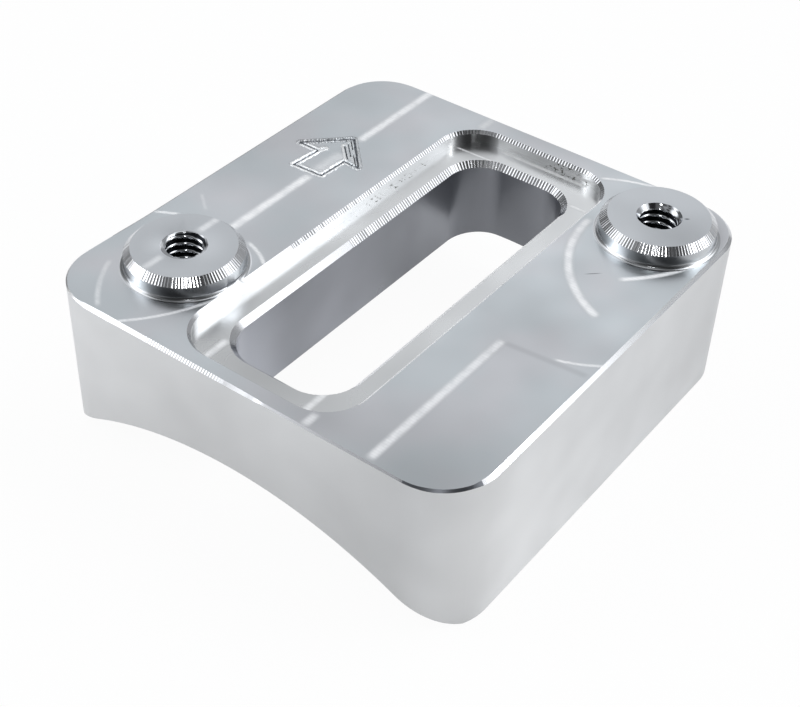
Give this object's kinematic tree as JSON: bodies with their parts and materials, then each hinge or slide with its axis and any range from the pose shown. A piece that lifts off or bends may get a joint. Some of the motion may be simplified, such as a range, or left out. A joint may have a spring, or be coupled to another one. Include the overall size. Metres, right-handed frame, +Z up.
{
  "type": "mass air flow sensor flange",
  "caption": "Milled aluminium block with a curved saddle that sits on a round intake tube, a stepped slot for an air flow sensor's blade, and tapped bosses for its screws.",
  "frame": {"origin": "middle of the block's footprint, on the plane of the two feet beside the saddle", "axes": "+Z up, away from the tube; +Y along the tube, the way the air flows; +X across the tube"},
  "size_m": [0.0456, 0.0488, 0.0182],
  "materials": {
    "milled_aluminium": "bare milled 6061, satin, with brighter tool marks"
  },
  "bodies": {
    "root": {"flange": "milled_aluminium"}
  },
  "joints": []
}
